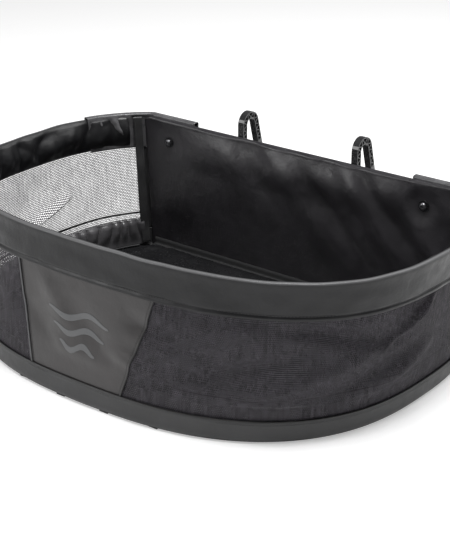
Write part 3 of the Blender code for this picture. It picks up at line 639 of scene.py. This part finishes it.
def grid_mesh(name, points, cloth):
    """Smooth quads over a grid of points, with the cloth's own coordinates."""
    rows, columns, _ = points.shape
    index = np.arange(rows * columns).reshape(rows, columns)
    faces = np.stack((index[:-1, :-1], index[:-1, 1:], index[1:, 1:], index[1:, :-1]), -1)
    mesh = bpy.data.meshes.new(name)
    mesh.from_pydata(points.reshape(-1, 3).tolist(), [], faces.reshape(-1, 4).tolist())
    attribute = mesh.attributes.new("cloth", "FLOAT_VECTOR", "POINT")
    attribute.data.foreach_set("vector", np.ascontiguousarray(cloth, np.float32).ravel())
    mesh.shade_smooth()
    return mesh


def cloth_grid(along, across):
    """Cloth coordinates from lengths along and across."""
    return points_of(along, across, 0.0)


def cloth_piece(name, points, cloth, material, nodes=(), body=BASKET, thickness=CLOTH,
                offset=0.0):
    """A sheet through a grid of points, thickened about them or to one side."""
    item = add_piece(name, grid_mesh(name, points, cloth), material, body, nodes)
    solidify = item.modifiers.new("thickness", "SOLIDIFY")
    solidify.thickness = thickness
    solidify.offset = offset
    return item


def node_cloth(node, points, cloth, material, thickness=CLOTH):
    """A sheet that stands for one CAD node."""
    return cloth_piece(node + "_cloth", points, cloth, material, (node,), BASKET, thickness)


def cord_piece(name, points, radius, material, nodes=()):
    """Piping along points in the frame."""
    curve = bpy.data.curves.new(name, "CURVE")
    curve.dimensions = "3D"
    curve.bevel_depth = radius
    curve.bevel_resolution = 3
    curve.use_fill_caps = True
    spline = curve.splines.new("POLY")
    spline.points.add(len(points) - 1)
    for corner, point in zip(spline.points, points):
        corner.co = (*point, 1.0)
    spline.use_smooth = True
    return add_piece(name, curve, material, BASKET, nodes)


# A stitch along its length: place and thickness, as shares.
STITCH_PROFILE = ((-0.5, 0.25), (-0.36, 0.9), (0.0, 1.0), (0.36, 0.9), (0.5, 0.25))
STITCH_SIDES = 5
STITCH_RADIUS = 0.00034


def between(place, run, values):
    """A vector part of the way along a row of vectors."""
    return np.array([np.interp(place, run, values[:, k]) for k in range(3)])


def stitch_points(place, run, points, outs, length):
    """Rings of points of one stitch, at a place along its line."""
    along = between(place + length / 2, run, points) - between(place - length / 2, run, points)
    along /= np.linalg.norm(along)
    side = np.cross(along, between(place, run, outs))
    side /= np.linalg.norm(side)
    out = np.cross(side, along)
    middle = between(place, run, points)
    rings = []
    for step, size in STITCH_PROFILE:
        for k in range(STITCH_SIDES):
            turn = math.tau * k / STITCH_SIDES
            ring = math.cos(turn) * side + math.sin(turn) * out
            rings.append(tuple(middle + along * length * step + ring * STITCH_RADIUS * size))
    return rings


def stitch_faces(first):
    """Faces of one stitch whose points start at an index."""
    faces = []
    last_ring = len(STITCH_PROFILE) - 1
    for ring in range(last_ring):
        for k in range(STITCH_SIDES):
            a = first + ring * STITCH_SIDES + k
            b = first + ring * STITCH_SIDES + (k + 1) % STITCH_SIDES
            faces.append((a, b, b + STITCH_SIDES, a + STITCH_SIDES))
    end = first + last_ring * STITCH_SIDES
    faces.append(tuple(first + k for k in reversed(range(STITCH_SIDES))))
    faces.append(tuple(end + k for k in range(STITCH_SIDES)))
    return faces


def stitch_piece(name, lines, pitch=0.0042, length=0.003):
    """Rows of thread stitches; each line is (points, outward directions)."""
    vertices = []
    faces = []
    for points, outs in lines:
        run = run_length(points)
        for place in np.arange(pitch / 2, run[-1], pitch):
            faces += stitch_faces(len(vertices))
            vertices += stitch_points(place, run, points, outs, length)
    mesh = bpy.data.meshes.new(name)
    mesh.from_pydata(vertices, [], faces)
    mesh.shade_smooth()
    return add_piece(name, mesh, "thread", BASKET, ())


def level_outs(normals, sign=1.0):
    """Level plan directions as 3-D ones."""
    return sign * np.concatenate((normals, np.zeros((len(normals), 1))), -1)


def wall_stitches(shares, height, out, sign=1.0):
    """A stitch line along the wall at a height, seen from outside (1) or inside (-1)."""
    return on_wall(shares, height, out), level_outs(wall_normal(shares, height), sign)


# ---- rim
def folded_profile(half, crown, outer_drop, inner_drop, wide_top):
    """(out, drop, side) from the outer hem over the top to the inner hem."""
    hem = np.linspace(outer_drop, outer_drop - 0.01, 11)[:-1]
    outer = np.concatenate((hem, np.linspace(outer_drop - 0.01, crown, 16)))
    turn = np.linspace(0, math.pi, 15)[1:-1]
    inner = np.linspace(crown, inner_drop, 24)
    side = np.concatenate((np.ones_like(outer), np.cos(turn), -np.ones_like(inner)))
    over = crown * (1 - np.sin(turn) ** 0.55) + 0.0006 * np.sin(turn) ** 6
    drop = np.concatenate((outer, over, inner))
    swell = 1 + wide_top * bell(drop, 0.003, 0.007)
    return half * side * swell, drop, side


def hem_shape(drop, outer_drop):
    """Doubled hem along the lower edge, with a sewn groove above it."""
    doubled = 0.0009 * smooth(drop, outer_drop - 0.0045, outer_drop - 0.003)
    return doubled - 0.0006 * bell(drop, outer_drop - HEM_GROOVE, 0.0011)


def make_sleeve():
    """Cloth folded over the hoop, slack and gathered on its inner side."""
    shares = np.linspace(1 / STATIONS, 1 - 1 / STATIONS, 401)
    arc = arc_of(shares)[None, :]
    profile = folded_profile(SLEEVE_MIDDLE, 0.0036, SLEEVE_OUTER_DROP, SLEEVE_INNER_DROP, 0.42)
    out, drop, side = (column[:, None] for column in profile)
    slack = smooth(drop, 0.006, 0.03)
    wave = 0.0008 * ripples(arc, drop * 0.4, 5, 0.12) + 0.0004 * ripples(arc, drop, 6, 0.045)
    outside = (wave * slack + hem_shape(drop, SLEEVE_OUTER_DROP)) * (side > 0.99)
    inside = -sleeve_gathers(arc, drop) * (side < -0.99)
    top = 0.0005 * ripples(arc, drop * 0, 7, 0.06) * (1 - slack)
    points = on_wall(shares[None, :], RIM_TOP - drop + top, out + outside + inside)
    section = run_length(np.concatenate((out, drop), 1))[:, None]
    sleeve = node_cloth("rim_sleeve", points, cloth_grid(arc, section), "sleeve")
    face = SLEEVE_MIDDLE + CLOTH / 2
    outer_row = wall_stitches(shares, RIM_TOP - (SLEEVE_OUTER_DROP - HEM_GROOVE), face - 0.0003)
    inner_row = wall_stitches(shares, RIM_TOP - SLEEVE_INNER_DROP + 0.003, -face - 0.0001, -1.0)
    stitches = stitch_piece("rim_stitches", [outer_row, inner_row])


# Folds of the corner patches' inner sides, from and to as (distance from corner, drop).
PATCH_FOLDS = (
    ((0.054, 0.0), (0.032, 0.05), 0.006, -0.006),
    ((0.04, 0.0), (0.014, 0.05), 0.0055, 0.0064),
    ((0.024, 0.0), (0.012, 0.052), 0.0048, -0.0046),
    ((0.064, 0.008), (0.046, 0.034), 0.006, 0.004),
    ((0.045, 0.02), (0.024, 0.026), 0.005, 0.004),
    ((0.074, 0.046), (0.034, 0.03), 0.005, -0.004),
)


def patch_rows(side, drops):
    """Middles and normals for every row of a corner patch."""
    shares = np.linspace(TURN_END, PATCH_ON_WALL, PATCH_STATIONS)
    if side == "right":
        shares = np.sort(1 - shares)
    ends = {side + "_end": PATCH_ENDS[side]}
    return [hooped_row(shares, RIM_TOP - drop, TAB_Y, **ends) for drop in drops]


def patch_runs(side, middles):
    """Distances along a row of a patch, from its tab's end and from the corner."""
    run = run_length(middles)
    corner = len(run) - PATCH_STATIONS
    if side == "right":
        run = run[-1] - run
        corner = PATCH_STATIONS - 1
    return run, run - run[corner]


def patch_crumple(from_corner, depth):
    """How far a patch's inner side puffs into the basket."""
    crumple = 0.0026 * np.abs(ripples(from_corner, depth, 41, 0.04))
    crumple += folds(from_corner, depth, PATCH_FOLDS)
    held = smooth(depth, 0.002, 0.012) * smooth(PATCH_DROP - depth, 0.002, 0.012)
    held = held * smooth(from_corner, 0.004, 0.016) * smooth(0.094 - from_corner, 0.004, 0.02)
    return np.maximum(crumple, -0.0006) * held


def patch_lift(step, depth, facing, run, from_corner):
    """Stand of a row of a patch; its inner side is tucked at the corner and crumpled."""
    if facing < -0.99:
        tucked = smooth(from_corner, -0.03, -0.012) * (1 - smooth(from_corner, 0.004, 0.012))
        return step * (1 - 0.45 * tucked) - patch_crumple(from_corner, depth)
    if facing > 0.99:
        soft = 0.0006 * ripples(run, depth, 42, 0.05) * smooth(depth, 0.006, 0.02)
        return step + soft + hem_shape(depth, PATCH_DROP)
    return np.full(len(run), step)


def patch_seams(side, points, rows):
    """Two sewn lines along a patch's outer hem, and one down its inner side's edge."""
    lines = []
    for row in PATCH_SEAM_ROWS:
        outs = level_outs(rows[row][1])
        lines.append((points[row] + outs * STITCH_LIFT, outs))
    edge = -4 if side == "left" else 3
    inner_edge = points[len(points) // 2 + 8:, edge]
    outs = np.tile(level_outs(rows[0][1][edge][None], -1.0), (len(inner_edge), 1))
    lines.append((inner_edge + outs * STITCH_LIFT, outs))
    return lines


def make_patch(side):
    """Reinforcing patch folded over the rim and the hoop's tab at a corner."""
    out, drop, face = folded_profile(PATCH_MIDDLE, 0.0042, PATCH_DROP, PATCH_DROP, 0.1)
    rows = patch_rows(side, drop)
    points = []
    for step, depth, facing, (middles, normals) in zip(out, drop, face, rows):
        lift = patch_lift(step, depth, facing, *patch_runs(side, middles))
        height = RIM_TOP + PATCH_RISE - depth * (1 + PATCH_RISE / PATCH_DROP)
        points.append(raised(middles + lift[:, None] * normals, height))
    points = np.array(points)
    along = run_length(points[len(points) // 2])
    section = run_length(np.stack((out, drop), 1))
    name = "corner_patch_" + side
    patch = node_cloth(name, points, cloth_grid(along[None, :], section[:, None]), "patch")
    stitches = stitch_piece(name + "_stitches", patch_seams(side, points, rows))


# ---- wall
def front_edge(side, height, gap=0.0):
    """Share of the D at the front panel's side edge, at a height."""
    level = level_at(height)
    length = BASE_LINE["length"] * (1 - level) + RIM_LINE["length"] * level
    half = FRONT_BOTTOM_HALF * (1 - level) + FRONT_TOP_HALF * level
    shift = FRONT_BOTTOM_SHIFT * (1 - level)
    return 0.5 + (shift + side * (half + gap)) / length


def wall_sheet(name, first, last, columns, material, thickness):
    """A piece of the slack wall between two edges that vary with height."""
    top = RIM_TOP - SLEEVE_INNER_DROP + MESH_TUCK
    heights = np.linspace(PANEL_FOOT + 0.001, top, 110)[:, None]
    t = np.linspace(0, 1, columns)[None, :]
    shares = first(heights) * (1 - t) + last(heights) * t
    arc = arc_of(shares)
    points = on_wall(shares, heights, wall_out(arc, heights))
    item = node_cloth(name, points, cloth_grid(arc, heights), material, thickness)
    width = float(np.mean(last(heights) - first(heights))) * WALL_LENGTH


def make_walls():
    """Two mesh walls with the front panel between them."""
    wall_sheet("mesh_wall_left", lambda z: np.full_like(z, TURN_END),
               lambda z: front_edge(-1, z), 420, "mesh", NETTING)
    wall_sheet("mesh_wall_right", lambda z: front_edge(1, z),
               lambda z: np.full_like(z, 1 - TURN_END), 420, "mesh", NETTING)
    wall_sheet("front_panel", lambda z: front_edge(-1, z),
               lambda z: front_edge(1, z), 110, "front", CLOTH)


def front_line(side, gap, lift):
    """Points and normals up the slack wall beside an edge of the front panel."""
    low, high = BAND_TOP + 0.0012, RIM_TOP - SLEEVE_OUTER_DROP + 0.001
    heights = np.linspace(low, high, 60)
    shares = front_edge(side, heights, gap)
    points = on_wall(shares, heights, wall_out(arc_of(shares), heights) + lift)
    return points, level_outs(wall_normal(shares, heights))


def make_front_edges():
    """Piping and a row of stitches down both side edges of the front panel."""
    lines = []
    for name, side, finish in (("left", -1, "print"), ("right", 1, "piping")):
        cord_piece("front_piping_" + name + "_cord", front_line(side, 0.0006, 0.0014)[0], 0.0012,
                   finish, ("front_piping_" + name,))
        lines.append(front_line(side, -0.0036, 0.0006))
    stitch_piece("front_stitches", lines, 0.0036, 0.0026)


def make_mesh_seam():
    """Narrow tape sewn along the inside of the mesh, above the gathered band."""
    for name, ends in SEAM_TAPE_ENDS.items():
        shares = np.linspace(*ends, 200)[None, :]
        heights = np.linspace(*SEAM_TAPE, 3)[:, None]
        arc = arc_of(shares)
        points = on_wall(shares, heights, wall_out(arc, heights) - 0.0009)
        cloth_piece("mesh_seam_" + name, points, cloth_grid(arc, heights), "piping",
                    thickness=0.0008)


# ---- bands
def band_out(run, height):
    """Stand of the foot band: rolled under at its foot, with a ridge under its piping."""
    roll = 0.0026 * (1 - min((height - BASE_LEVEL) / BAND_ROLL, 1)) ** 2
    ridge = 0.0007 * bell(height, BAND_TOP - 0.003, 0.0012)
    return 0.0017 + 0.0005 * ripples(run, height, 51, 0.1) + ridge - roll


def make_base_band():
    """Outer band round the foot, with a piped top."""
    low = np.linspace(0.0, BAND_ROLL, 7)[:-1]
    heights = BASE_LEVEL + np.concatenate((low, np.linspace(BAND_ROLL, 0.0285, 14)))
    shares = np.linspace(TURN_END, 1 - TURN_END, 380)
    ends = {"left_end": -BAND_TAB_END, "right_end": BAND_TAB_END}
    points = hooped_points(shares, heights, BAND_LINE, ends, band_out)
    run = run_length(points[-1])
    band = node_cloth("base_band", points, cloth_grid(run[None, :], heights[:, None]), "band")
    middles, normals = hooped_row(shares, BAND_TOP, BAND_LINE, **ends)
    cord = cord_piece("base_band_piping", raised(middles + 0.0019 * normals, BAND_TOP), 0.0011,
                      "piping")
    seam = raised(middles + 0.0027 * normals, BAND_TOP - 0.0045)
    stitches = stitch_piece("base_band_stitches", [(seam, level_outs(normals))])


def make_band_back():
    """The foot band's strip behind the panel."""
    x = np.linspace(-BAND_TAB_END, BAND_TAB_END, 120)[None, :]
    z = np.linspace(BASE_LEVEL, BAND_TOP, 14)[:, None]
    y = PANEL_Y + COVER_BACK + 0.0014 + 0.0005 * ripples(x, z, 52, 0.09)
    back = node_cloth("base_band_back", points_of(x, y, z), cloth_grid(x, z), "band")


def make_inner_band():
    """Gathered band round the foot of the wall, inside."""
    shares = np.linspace(TURN_END, 1 - TURN_END, 900)
    heights = np.linspace(PANEL_FOOT + 0.0006, INNER_BAND_TOP, 20)[:, None]
    arc = arc_of(shares)[None, :]
    out = wall_out(arc, heights) - 0.0016 - band_gathers(arc, heights)
    points = on_wall(shares[None, :], heights, out)
    band = node_cloth("inner_band", points, cloth_grid(arc, heights), "inner",
                      thickness=THIN_CLOTH)
    line = wall_stitches(shares, INNER_BAND_TOP - 0.0022, -0.0026, -1.0)
    stitches = stitch_piece("inner_band_stitches", [line])


def make_emblem():
    """Plain wave mark printed on the front panel."""
    across = np.linspace(-1, 1, 81)[None, :]
    t = np.linspace(-1, 1, 9)[:, None]
    stroke = EMBLEM_STROKE / 2 * (1 - 0.75 * np.abs(across) ** 3)
    for number, (height, half) in enumerate(EMBLEM_ROWS, start=1):
        name = "emblem_wave_%d" % number
        shares = 0.5 + (across * half + FRONT_BOTTOM_SHIFT * 0.5) / BASE_LINE["length"]
        z = height + EMBLEM_SWELL * np.sin(1.5 * math.pi * across) + t * stroke
        out = wall_out(arc_of(shares), z) + CLOTH / 2 + 0.00022
        cloth_piece(name + "_print", on_wall(shares, z, out), cloth_grid(across * half, t * stroke),
                    "print", (name,), thickness=0.0002)


# ---- back panel
def panel_width():
    return float(2 * half_panel_at(PANEL_MIDDLE))


def cover_rows():
    """(x, y, z) of the inner cover's rows, up the front, over the top and down the back."""
    t = np.linspace(-1, 1, 260)
    for z in np.linspace(PANEL_FOOT, RIM_TOP - COVER_TURN, 84):
        x = t * (half_chord_at(z) - COVER_END)
        yield x, CLOTH / 2 - cover_bulge(x, z), z
    middle = COVER_BACK / 2
    turn = np.linspace(0, math.pi / 2, 9)[1:]
    for angle in turn:
        z = RIM_TOP - COVER_TURN + (COVER_TURN - COVER_GAP) * math.sin(angle)
        x = t * (half_chord_at(z) - COVER_END - (PANEL_END - COVER_END) * math.sin(angle))
        front = CLOTH / 2 - cover_bulge(x, RIM_TOP - COVER_TURN)
        yield x, middle - (middle - front) * math.cos(angle) ** 0.75, z
    for angle in turn[:-1]:
        z = RIM_TOP - BACK_TURN + (BACK_TURN - COVER_GAP) * math.cos(angle)
        y = middle + (middle - CLOTH / 2) * math.sin(angle)
        yield t * half_panel_at(z), y, z
    for z in np.linspace(RIM_TOP - BACK_TURN, RIM_TOP - TOP_FOLD, 9):
        yield t * half_panel_at(z), COVER_BACK - CLOTH / 2, z


def make_cover():
    """Inner cover of the back panel: soft over the board and folded over its top."""
    points = np.array([points_of(x, y + PANEL_Y, z) for x, y, z in cover_rows()])
    section = run_length(points[:, 130])
    cloth = cloth_grid(points[..., 0], section[:, None])
    cover = node_cloth("back_cover_inner", points, cloth, "cover")
    panel_width()


def make_outer_cover():
    """Flat cover of the panel's back, up to the inner cover's fold."""
    z = np.linspace(PANEL_FOOT, RIM_TOP - TOP_FOLD - 0.0006, 50)[:, None]
    x = np.linspace(-1, 1, 260)[None, :] * half_panel_at(z)
    y = PANEL_Y + COVER_BACK - CLOTH / 2 - 0.0002 + 0.0003 * ripples(x, z, 61, 0.12)
    outer = node_cloth("back_cover_outer", points_of(x, y, z), cloth_grid(x, z), "band")
    panel_width()


def make_bindings():
    """Upright strips sewn over the inside of both corners, with two rows of stitches."""
    heights = np.linspace(0.01, RIM_TOP - 0.002, 70)[:, None]
    for side in ("left", "right"):
        shares = np.linspace(*BINDING_SHARES, 12)
        if side == "right":
            shares = 1 - shares
        arc = arc_of(shares[None, :])
        out = BINDING_OUT - 0.0007 * ripples(arc, heights, 71, 0.05)
        points = on_wall(shares[None, :], heights, out)
        name = "corner_binding_" + side
        strip = node_cloth(name, points, cloth_grid(arc, heights), "binding")
        lines = []
        for column in BINDING_SEAMS:
            normals = wall_normal(shares[column], heights[:, 0])
            inward = level_outs(normals, -1.0)
            lines.append((points[:, column] + inward * STITCH_LIFT, inward))
        stitches = stitch_piece(name + "_stitches", lines, 0.0036, 0.0026)


def seam_out(run, height):
    return 0.0028 + 0.0003 * ripples(run, height, 81, 0.05)


def make_corner_seams():
    """Strips sewn round the outside of both back corners."""
    heights = np.linspace(BAND_TOP + 0.001, RIM_TOP - PATCH_DROP - 0.001, 50)
    for side, sign in (("left", -1), ("right", 1)):
        shares = np.linspace(TURN_END, SEAM_END_SHARE, 4)
        if side == "right":
            shares = np.sort(1 - shares)
        ends = {side + "_end": sign * (RIM_SHAPE[0] - SEAM_REACH)}
        points = hooped_points(shares, heights, SEAM_LINE, ends, seam_out)
        run = run_length(points[25])
        name = "corner_seam_" + side
        strip = node_cloth(name, points, cloth_grid(run[None, :], heights[:, None]), "band")


# ---- floor
def floor_grid(shares, rows, height, inset, rear_y, rear_inset):
    """Plan points from the wall to the panel line, fanned over the D."""
    edge = wall_plan(shares, height) - inset * wall_normal(shares, height)
    edge[:, 1] = np.minimum(edge[:, 1], rear_y)
    half = half_chord_at(height) - rear_inset
    rear = np.stack((np.linspace(-half, half, len(shares)), np.full(len(shares), rear_y)), -1)
    t = np.linspace(0, 1, rows)[:, None, None]
    return edge[None] * (1 - t) + rear[None] * t


def make_floor():
    """Fabric floor under everything, and the pipings along its seams."""
    height = BASE_LEVEL + 0.0006
    plan = floor_grid(np.linspace(0.0, 1.0, 240), 70, height, -0.0004, COVER_BACK, 0.004)
    cloth = cloth_grid(plan[..., 0], plan[..., 1])
    fabric = cloth_piece("floor_fabric", raised(plan, height), cloth, "floor",
                         ("floor_cloth",))

    seam = on_wall(np.linspace(0.014, 0.986, 400), FLOOR_SEAM, -0.005)
    cord_piece("floor_seam_cord", seam, PIPING, "strip", ("floor_piping",))
    end = BASE_SHAPE[0] - 0.012
    rear = points_of(np.linspace(-end, end, 120), PANEL_Y - 0.0022, FLOOR_SEAM)
    cord_piece("panel_seam_cord", rear, PIPING, "strip", ("panel_piping",))


def make_insert():
    """Stiff floor insert in a cloth cover, crumpled at its left rear corner."""
    low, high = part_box("floor_board")
    shares = np.linspace(0.012, 0.988, 240)
    near_corner = 1 - smooth(np.minimum(shares, 1 - shares), 0.03, 0.17)[:, None]
    inset = INSERT_INSET + CORNER_INSET * near_corner
    plan = floor_grid(shares, 80, low[2], inset, HINGE_Y, INSERT_REAR_INSET)
    x, y = plan[..., 0], plan[..., 1]
    wave = 0.00035 * ripples(x, y, 91, 0.16) + 0.0002 * ripples(x, y, 92, 0.05)
    crumpled = np.exp(-((x + 0.255) ** 2 + (y + 0.035) ** 2) / 0.055 ** 2)
    wave = wave + 0.0013 * crumpled * ripples(x, y, 93, 0.028)
    wave = wave + 0.00022 * np.sin((y + 0.06 * x) * math.tau / 0.014) * smooth(-y, 0.01, 0.05)
    cloth_piece("floor_insert_cover", raised(plan, high[2] - 0.0002 + wave),
                cloth_grid(x, y), "floor", ("floor_board",), INSERT,
                high[2] - low[2] - 0.0004, 1.0)


def make_hinge():
    """One cloth strip from the panel's foot to the insert, bending at the hinge line."""
    panel_low, panel_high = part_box("panel_hinge_strip")
    board_low, board_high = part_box("board_hinge_strip")
    wall_y = panel_low[1] + 0.0002
    wall_top = panel_high[2]
    top = board_high[2]
    hinge = PANEL_Y + HINGE_Y
    bend = hinge - 0.001
    profile = [(wall_y, wall_top), (wall_y, wall_top * 0.7), (wall_y, 0.01),
               (wall_y - 0.0006, 0.009), (wall_y - 0.002, 0.0084),
               (hinge + 0.001, top - 0.0002), (bend, top - 0.0003)]
    for share in (0.3, 0.6, 1.0):
        profile.append((bend - share * (bend - board_low[1]), top - 0.0003))
    x = np.linspace(board_low[0], board_high[0], 160)
    rows = [points_of(x, y, z + 0.0002 * ripples(x, y, 95, 0.04)) for y, z in profile]
    points = np.array(rows)
    section = run_length(points[:, 0])
    strip = cloth_piece("insert_hinge_cloth", points, cloth_grid(x[None, :], section[:, None]),
                        "tape", ("panel_hinge_strip", "board_hinge_strip"), None,
                        THIN_CLOTH)
    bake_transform(strip)


# ---- hard parts
def make_hook(side):
    """A copy of a CAD hook with its edges rounded."""
    node = "hook_" + side
    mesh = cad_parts[node].data.copy()
    mesh.materials.clear()
    item = add_piece(node + "_moulding", mesh, "plastic", BASKET, (node,))
    bevel = item.modifiers.new("edges", "BEVEL")
    bevel.width = 0.0005
    bevel.segments = 3
    bevel.limit_method = "ANGLE"
    bevel.angle_limit = math.radians(32)
    mesh.shade_smooth()


def finish_hard_parts():
    """Materials for the CAD's own pieces, by how their names start."""
    for node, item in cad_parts.items():
        for beginning, material in FINISHES.items():
            if node.startswith(beginning):
                for slot in item.material_slots:
                    slot.material = MATERIALS[material]


# ---- stage
def make_stage():
    """Plain pale floor and an even white surround."""
    mesh = bpy.data.meshes.new("floor")
    size = STAGE_SIZE
    corners = [(-size, -size, 0), (size, -size, 0), (size, size, 0), (-size, size, 0)]
    mesh.from_pydata(corners, [], [(0, 1, 2, 3)])
    ground = add_object("studio_floor", mesh)
    material, _, shader = new_material("studio_white", STAGE_TONE, 0.9)
    shader.inputs["Emission Color"].default_value = WHITE
    shader.inputs["Emission Strength"].default_value = STAGE_GLOW
    mesh.materials.append(material)

    world = bpy.data.worlds.new("studio")
    bpy.context.scene.world = world
    world.use_nodes = True
    background = world.node_tree.nodes["Background"]
    background.inputs["Color"].default_value = WHITE
    background.inputs["Strength"].default_value = WORLD_GLOW


def aim(item, direction):
    item.rotation_mode = "QUATERNION"
    item.rotation_quaternion = Vector(direction).to_track_quat("-Z", "Y")


def make_lights():
    for name, place, size, energy in LIGHTS:
        light = bpy.data.lights.new(name, "AREA")
        light.shape = "RECTANGLE"
        light.size, light.size_y = size
        light.energy = energy
        item = add_object(name, light)
        item.location = place
        aim(item, np.array(LIGHT_TARGET) - np.array(place))


def make_camera():
    camera_data = bpy.data.cameras.new("camera")
    camera_data.lens = CAMERA_LENS
    camera_data.sensor_width = 36.0
    camera = add_object("camera", camera_data)
    camera.location = CAMERA_PLACE
    aim(camera, CAMERA_AIM)
    bpy.context.scene.camera = camera


make_stage()
make_lights()
make_camera()
make_sleeve()
make_patch("left")
make_patch("right")
make_walls()
make_front_edges()
make_mesh_seam()
make_base_band()
make_band_back()
make_inner_band()
make_emblem()
make_cover()
make_outer_cover()
make_bindings()
make_corner_seams()
make_floor()
make_insert()
make_hinge()
make_hook("left")
make_hook("right")
finish_hard_parts()
bpy.context.scene.view_settings.view_transform = "Standard"
